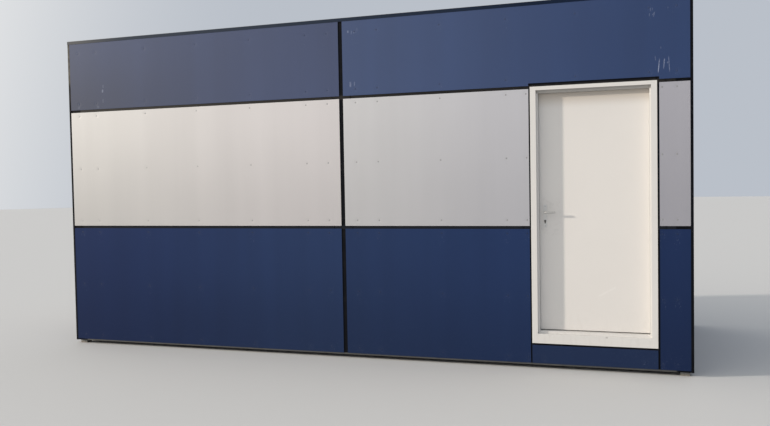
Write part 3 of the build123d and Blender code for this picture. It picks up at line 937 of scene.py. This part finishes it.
def select_top(piece):
    """Go to edit mode with the faces selected that face up."""
    make_active(piece)
    bpy.ops.object.mode_set(mode="EDIT")
    bpy.ops.mesh.select_mode(type="FACE")
    bpy.ops.mesh.select_all(action="DESELECT")
    shape = bmesh.from_edit_mesh(piece.data)
    for face in shape.faces:
        face.select_set(face.normal.z > 0.9)
    bmesh.update_edit_mesh(piece.data)


def block(name, low, high):
    """A block between two corners, ready to be shaped."""
    deselect_everything()
    low, high = Vector(low), Vector(high)
    bpy.ops.mesh.primitive_cube_add(size=1.0, location=(low + high) / 2, scale=high - low)
    piece = bpy.context.active_object
    piece.name = name
    piece.data.name = name
    settle(piece)
    return piece


def ease_edges(piece, width, steps=2):
    """Round all edges of a block a little."""
    make_active(piece)
    bevel = piece.modifiers.new("eased edges", "BEVEL")
    bevel.width = width
    bevel.segments = steps
    bpy.ops.object.modifier_apply(modifier=bevel.name)


def cut_out(piece, cutter):
    """Take the cutter's shape out of the piece, and remove the cutter."""
    make_active(piece)
    cut = piece.modifiers.new("cut", "BOOLEAN")
    cut.operation = "DIFFERENCE"
    cut.object = cutter
    bpy.ops.object.modifier_apply(modifier=cut.name)
    bpy.data.objects.remove(cutter)


def join_pieces(name, pieces):
    """Join pieces into one with this name."""
    deselect_everything()
    for piece in pieces:
        piece.select_set(True)
    bpy.context.view_layer.objects.active = pieces[0]
    if len(pieces) > 1:
        bpy.ops.object.join()
    joined = bpy.context.active_object
    joined.name = name
    joined.data.name = name
    settle(joined)
    return joined


def join_copies(name, pattern, turns_and_places):
    """One piece made of copies of the pattern, each with its own mesh. The pattern goes."""
    copies = []
    for matrix in turns_and_places:
        copy = pattern.copy()
        copy.data = pattern.data.copy()
        copy.matrix_world = matrix
        bpy.context.scene.collection.objects.link(copy)
        copies.append(copy)
    bpy.data.objects.remove(pattern)
    return join_pieces(name, copies)


def eased_blocks(name, corners, width):
    """One piece of blocks between these pairs of corners, with rounded edges."""
    blocks = [block(name, low, high) for low, high in corners]
    for piece in blocks:
        ease_edges(piece, width)
    return join_pieces(name, blocks)


def finish_piece(piece, material, body):
    """Give a new piece its material, the body it rides on and its finish's slot."""
    smoothing_angle = math.radians(35.0)
    piece.data.materials.clear()
    piece.data.materials.append(material)
    make_active(piece)
    bpy.ops.object.shade_smooth_by_angle(angle=smoothing_angle)
    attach(piece, body)


# Turns of a pattern from facing up to facing each side of the cabin
FACING = {
    "front": Matrix.Rotation(math.radians(90.0), 4, "X"),
    "back": Matrix.Rotation(math.radians(-90.0), 4, "X"),
    "left": Matrix.Rotation(math.radians(-90.0), 4, "Y"),
    "right": Matrix.Rotation(math.radians(90.0), 4, "Y"),
}


def facing(side, place):
    """The turn to that side and the move to the place, for a pattern that faces up."""
    return Matrix.Translation(place) @ FACING[side]


def round_head(width, height, side, buried, corners, insets):
    """A round head with an upright side, its top shaped by insets.

    The side is a part of the height, and each inset is a part of the radius and of the height.
    """
    radius, top = width / 2, height * side
    deselect_everything()
    bpy.ops.mesh.primitive_cylinder_add(
        vertices=corners, radius=radius, depth=top + buried, location=(0, 0, (top - buried) / 2)
    )
    head = bpy.context.active_object
    settle(head)
    select_top(head)
    for inwards, up in insets:
        bpy.ops.mesh.inset(thickness=radius * inwards, depth=height * up)
    bpy.ops.object.mode_set(mode="OBJECT")
    return head


def rivet_pattern():
    """A domed rivet head with the small pit of its pulled stem."""
    dome = ((0.22, 0.33), (0.26, 0.17), (0.24, 0.05), (0.05, -0.40))
    return round_head(sizes().rivet_width, sizes().rivet_height, 0.45, 0.0006, 14, dome)


def screw_pattern():
    """A countersunk screw head with a round recess."""
    recess = ((0.12, 0.3), (0.38, 0.0), (0.10, -0.9))
    return round_head(sizes().screw_width, sizes().screw_height, 1.0, 0.0, 16, recess)


def screws(name, places, body, material):
    """Countersunk screws at these turns and places."""
    finish_piece(join_copies(name, screw_pattern(), places), material, body)


def rivet_spots(columns, rows):
    """The spots, along and up, where columns and rows of rivets cross."""
    return [(along, level) for along in columns for level in rows]


def front_spots(node):
    """The spots of one front sheet's rivets: none behind the door frame's head or close by it."""
    clear = 0.05
    left, right = span("door_sill", 0)
    low, high = span("door_head", 2)

    def hidden(along, level):
        beside = left - clear < along < right + clear
        return band_of(node) == "top" and beside and low < level < high + clear

    spots = rivet_spots(front_columns(node), front_rows(node))
    return [spot for spot in spots if not hidden(*spot)]


def rivet_places(side, spots):
    """Turns and places of the rivets at these spots of one side."""
    out_x, out_y = SHEET_REACH["X"], SHEET_REACH["Y"]
    place = {
        "front": lambda along, level: (along, -out_y, level),
        "back": lambda along, level: (along, out_y, level),
        "left": lambda along, level: (-out_x, along, level),
        "right": lambda along, level: (out_x, along, level),
    }[side]
    return [facing(side, place(*spot)) for spot in spots]


def rivet_finish(band):
    """Bare metal on the silver sheets, and a darker blue than the sheet's on the blue ones."""
    if band == "middle":
        finish, lightest = Finish("rivet_metal", colours().rivet, 0.45, 0.6), 1.15
    else:
        blues = {"top": (colours().upper_blue, 0.5), "bottom": (colours().lower_blue, 0.22)}
        blue, specular = blues[band]
        darker = [channel * 0.8 for channel in blue]
        finish, lightest = Finish(f"{band}_rivet_coating", darker, 0.45, 0.0, specular), 1.3
    finish.shade(finish.noise(300.0), 0.75, lightest)
    return finish.done()


class CABIN_OT_add_rivets(bpy.types.Operator):
    """Rivet the cladding sheets to their battens, on all four sides"""

    bl_idname = "cabin.add_rivets"
    bl_label = "Add the Rivets"

    def execute(self, context):
        for band in BANDS:
            material = rivet_finish(band)
            sheets = [node for node in FRONT_SHEETS if band_of(node) == band]
            front = [spot for node in sheets for spot in front_spots(node)]
            back = rivet_spots(back_columns(), band_rows(band))
            end = rivet_spots(end_columns(), band_rows(band))
            places = {
                "front": rivet_places("front", front),
                "back": rivet_places("back", back),
                "end": rivet_places("left", end) + rivet_places("right", end),
            }
            for face, turns in places.items():
                rivets = join_copies(f"{face}_rivets_{band}", rivet_pattern(), turns)
                finish_piece(rivets, material, "cabin")
        return {"FINISHED"}


class CABIN_OT_add_screws(bpy.types.Operator):
    """Screw on the hinge flaps and the handle plates"""

    bl_idname = "cabin.add_screws"
    bl_label = "Add the Screws"

    def execute(self, context):
        zinc = zinc_finish()
        leaf_low, leaf_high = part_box("door_leaf")
        flap_thickness, flap_inset, hinge_inset = 0.003, 0.0135, 0.19
        flap_face = leaf_high.y + flap_thickness
        middle = (leaf_low.z + leaf_high.z) / 2
        levels = [leaf_low.z + hinge_inset, middle, leaf_high.z - hinge_inset]
        frame_x = span("frame_hinges", 0)[1] - flap_inset
        leaf_x = span("leaf_hinges", 0)[0] + flap_inset
        steps = (0.014, 0.038)
        on_frame, on_leaf = (
            [facing("back", (x, flap_face, level + step)) for level in levels for step in way]
            for x, way in ((frame_x, [-step for step in steps]), (leaf_x, steps))
        )
        plate_low, plate_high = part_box("handle_plates")
        plate_inset = 0.014
        across = (plate_low.x + plate_high.x) / 2
        on_plates = [
            facing(side, (across, y, z))
            for side, y in (("front", plate_low.y), ("back", plate_high.y))
            for z in (plate_low.z + plate_inset, plate_high.z - plate_inset)
        ]
        screws("frame_hinge_screws", on_frame, "cabin", zinc)
        screws("leaf_hinge_screws", on_leaf, "door", zinc)
        screws("handle_plate_screws", on_plates, "door", zinc)
        return {"FINISHED"}


class CABIN_OT_add_lock_plates(bpy.types.Operator):
    """Put the lock's faceplate on the leaf's edge and the strike plate on the jamb"""

    bl_idname = "cabin.add_lock_plates"
    bl_label = "Add the Lock Plates"

    def execute(self, context):
        zinc = zinc_finish()
        leaf_low, leaf_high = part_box("door_leaf")
        lever_low, lever_high = span("lever_handle", 2)
        lever_level = (lever_low + lever_high) / 2
        middle = (leaf_low.y + leaf_high.y) / 2
        low, high = lever_level - 0.165, lever_level + 0.070
        latch = (lever_level - 0.012, lever_level + 0.010)
        bolt = (lever_level - 0.125, lever_level - 0.088)
        screw_inset, leaf_gap = 0.010, 0.005
        screw_levels = (low + screw_inset, high - screw_inset)

        def slab(name, face, behind, ahead, half_width, bottom, top):
            """A block on an upright face, from behind it to ahead of it along x."""
            corner = (face - behind, middle - half_width, bottom)
            return block(name, corner, (face + ahead, middle + half_width, top))

        face = leaf_low.x
        plate = slab("plate", face, 0.0005, 0.0010, 0.010, low, high)
        ease_edges(plate, 0.0004, 1)
        parts = [plate]
        for bottom, top in (latch, bolt):
            nose = slab("nose", face, 0.0015, 0.0, 0.006, bottom, top)
            ease_edges(nose, 0.0008)
            parts.append(nose)
        finish_piece(join_pieces("lock_faceplate", parts), zinc, "door")
        ends = [facing("left", (face - 0.0005, middle, level)) for level in screw_levels]
        screws("lock_faceplate_screws", ends, "door", zinc)

        face = leaf_low.x - leaf_gap
        strike = slab("lock_strike", face, 0.0008, 0.0006, 0.011, low, high)
        for bottom, top in (latch, bolt):
            cut_out(strike, slab("pocket", face, 0.002, 0.002, 0.0075, bottom - 0.003, top + 0.003))
        finish_piece(strike, zinc, "cabin")
        ends = [facing("right", (face + 0.0006, middle, level)) for level in screw_levels]
        screws("lock_strike_screws", ends, "cabin", zinc)
        dark = [
            slab("pocket", face, 0.0003, 0.0002, 0.0078, bottom - 0.0034, top + 0.0034)
            for bottom, top in (latch, bolt)
        ]
        pockets = join_pieces("lock_strike_pockets", dark)
        finish_piece(pockets, black_finish("pocket_black").done(), "cabin")
        return {"FINISHED"}


def skirting_finish():
    """Grey coated skirting, scuffed along its lower edge."""
    finish = Finish("skirting_coating", colours().skirting, 0.45)
    finish.shade(finish.noise(5.0, detail=4.0), 0.92, 1.08)
    floor_level, scuffed_height = span("floor_deck", 2)[1], 0.03
    low = finish.rise(finish.axis["Z"], floor_level + scuffed_height, floor_level)
    marks = finish.times(low, finish.spots(30.0, 0.45, 0.70, detail=5.0))
    finish.tint(SKIRTING_MARKS, marks, 0.5)
    finish.roughen(marks, 0.2)
    return finish.done()


class CABIN_OT_add_skirting(bpy.types.Operator):
    """Run a skirting board round the foot of the room's walls"""

    bl_idname = "cabin.add_skirting"
    bl_label = "Add the Skirting"

    def execute(self, context):
        (left, front, _), (right, back, floor_level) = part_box("floor_deck")
        door_left, door_right = span("door_sill", 0)
        thick, height, gap = 0.010, 0.060, 0.002
        inner_left, inner_right = left + thick, right - thick
        inner_front, inner_back = front + thick, back - thick
        runs = [
            ((left + gap, inner_back), (right - gap, back)),
            ((left, front + gap), (inner_left, inner_back - gap)),
            ((inner_right, front + gap), (right, inner_back - gap)),
            ((inner_left + gap, front), (door_left - gap, inner_front)),
            ((door_right + gap, front), (inner_right - gap, inner_front)),
        ]
        top = floor_level + height
        corners = [((*near, floor_level), (*far, top)) for near, far in runs]
        boards = eased_blocks("skirting", corners, 0.002)
        finish_piece(boards, skirting_finish(), "cabin")
        return {"FINISHED"}


def rubber_finish():
    """Dull grey rubber."""
    finish = Finish("seal_rubber", colours().rubber, 0.70, 0.0, 0.3)
    finish.shade(finish.noise(90.0), 0.8, 1.5)
    finish.bump(finish.noise(700.0, detail=2.0), 0.0001)
    return finish.done()


class CABIN_OT_add_door_seal(bpy.types.Operator):
    """Line the rebate of the door frame with a rubber seal on three sides"""

    bl_idname = "cabin.add_door_seal"
    bl_label = "Add the Door Seal"

    def execute(self, context):
        leaf_face = span("door_leaf", 1)[0]
        left, right = span("door_jamb_left", 0)[1], span("door_jamb_right", 0)[0]
        bottom, top = span("door_sill", 2)[1], span("door_head", 2)[0]
        lip, width, rebate_gap, clear = 0.0015, 0.010, 0.005, 0.0006
        near, far = leaf_face - rebate_gap, leaf_face - clear
        outer_left, outer_right, under_head = left - width, right + width, top - lip
        corners = [
            ((outer_left, near, bottom), (left + lip, far, under_head)),
            ((right - lip, near, bottom), (outer_right, far, under_head)),
            ((outer_left, near, under_head), (outer_right, far, top + width)),
        ]
        seal = eased_blocks("door_seal", corners, 0.0010)
        finish_piece(seal, rubber_finish(), "cabin")
        return {"FINISHED"}


def light_backdrop(tree, stage, to_key):
    """A plain backdrop that glows softly on the key light's side."""
    direction = tree.nodes.new("ShaderNodeTexCoord").outputs["Generated"]
    towards = tree.nodes.new("ShaderNodeVectorMath")
    towards.operation = "DOT_PRODUCT"
    towards.inputs[1].default_value = to_key
    tree.links.new(direction, towards.inputs[0])
    glow = tree.nodes.new("ShaderNodeMapRange")
    glow.interpolation_type = "SMOOTHERSTEP"
    glow.inputs["From Min"].default_value = 0.10
    glow.inputs["From Max"].default_value = 0.85
    tree.links.new(towards.outputs["Value"], glow.inputs["Value"])
    factor, away, beside, backdrop = colour_mix(tree)
    brightest = (sky + more for sky, more in zip(stage.sky_colour, stage.glow_colour))
    away.default_value = (*stage.sky_colour, 1.0)
    beside.default_value = (*brightest, 1.0)
    tree.links.new(glow.outputs[0], factor)
    tree.links.new(backdrop, tree.nodes["Background"].inputs["Color"])


def add_to_scene(name, data):
    """An object for a light's or a camera's data, in the scene."""
    thing = bpy.data.objects.new(name, data)
    bpy.context.scene.collection.objects.link(thing)
    return thing


class CABIN_OT_build_stage(bpy.types.Operator):
    """Lay the floor, and set the backdrop, the lights and the camera"""

    bl_idname = "cabin.build_stage"
    bl_label = "Build the Stage"

    def execute(self, context):
        stage = context.scene.cabin_stage
        deselect_everything()
        bpy.ops.mesh.primitive_circle_add(
            vertices=96, radius=stage.floor_radius, fill_type="NGON"
        )
        floor = context.active_object
        floor.name = "studio_floor"
        paint = Finish("studio_floor_paint", stage.floor_colour, 0.85, 0.0, 0.2)
        floor.data.materials.append(paint.done())

        key = bpy.data.lights.new("key", "SUN")
        key.energy = stage.key_strength
        key.color = stage.key_colour
        key.angle = stage.key_softness
        across = math.cos(stage.key_height)
        to_key = Vector(
            (
                -math.sin(stage.key_side) * across,
                -math.cos(stage.key_side) * across,
                math.sin(stage.key_height),
            )
        )
        lamp_distance = 20.0
        lamp = add_to_scene("key", key)
        lamp.rotation_euler = to_key.to_track_quat("Z", "Y").to_euler()
        lamp.location = to_key * lamp_distance

        world = bpy.data.worlds.new("studio")
        world.use_nodes = True
        context.scene.world = world
        light_backdrop(world.node_tree, stage, to_key)

        lens = bpy.data.cameras.new("camera")
        lens.sensor_width = 36.0
        lens.sensor_fit = "HORIZONTAL"
        lens.lens = stage.lens
        lens.clip_end = 300.0
        camera = add_to_scene("camera", lens)
        turn = Matrix.Rotation(stage.turn, 4, "Z")
        lift = Matrix.Rotation(math.radians(90.0) - stage.dip, 4, "X")
        lean = Matrix.Rotation(stage.roll, 4, "Z")
        camera.matrix_world = Matrix.Translation(stage.eye) @ turn @ lift @ lean
        context.scene.camera = camera

        context.scene.view_settings.view_transform = "Standard"
        return {"FINISHED"}


class CABIN_PT_panel(bpy.types.Panel):
    """The cabin's sizes, colours and steps"""

    bl_label = "Portable Site Cabin"
    bl_idname = "CABIN_PT_panel"
    bl_space_type = "VIEW_3D"
    bl_region_type = "UI"
    bl_category = "Cabin"

    def draw(self, context):
        layout = self.layout
        for operator in OPERATORS:
            layout.operator(operator.bl_idname)
        for group in GROUPS:
            values = getattr(context.scene, group)
            column = layout.column()
            for name in values.bl_rna.properties.keys():
                if name not in ("rna_type", "name"):
                    column.prop(values, name)


OPERATORS = (
    CABIN_OT_finish_cladding,
    CABIN_OT_finish_structure,
    CABIN_OT_finish_room,
    CABIN_OT_finish_door,
    CABIN_OT_add_rivets,
    CABIN_OT_add_screws,
    CABIN_OT_add_lock_plates,
    CABIN_OT_add_skirting,
    CABIN_OT_add_door_seal,
    CABIN_OT_build_stage,
)
GROUPS = {
    "cabin_fasteners": CabinFastenerSizes,
    "cabin_colours": CabinColours,
    "cabin_stage": CabinStage,
}


def register():
    for item in (*GROUPS.values(), *OPERATORS, CABIN_PT_panel):
        bpy.utils.register_class(item)
    for name, group in GROUPS.items():
        setattr(bpy.types.Scene, name, bpy.props.PointerProperty(type=group))


def unregister():
    for name in GROUPS:
        delattr(bpy.types.Scene, name)
    for item in reversed((*GROUPS.values(), *OPERATORS, CABIN_PT_panel)):
        bpy.utils.unregister_class(item)


def main():
    """Register the add-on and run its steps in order."""
    register()
    bpy.ops.cabin.finish_cladding()
    bpy.ops.cabin.finish_structure()
    bpy.ops.cabin.finish_room()
    bpy.ops.cabin.finish_door()
    bpy.ops.cabin.add_rivets()
    bpy.ops.cabin.add_screws()
    bpy.ops.cabin.add_lock_plates()
    bpy.ops.cabin.add_skirting()
    bpy.ops.cabin.add_door_seal()
    bpy.ops.cabin.build_stage()


if __name__ == "__main__":
    main()
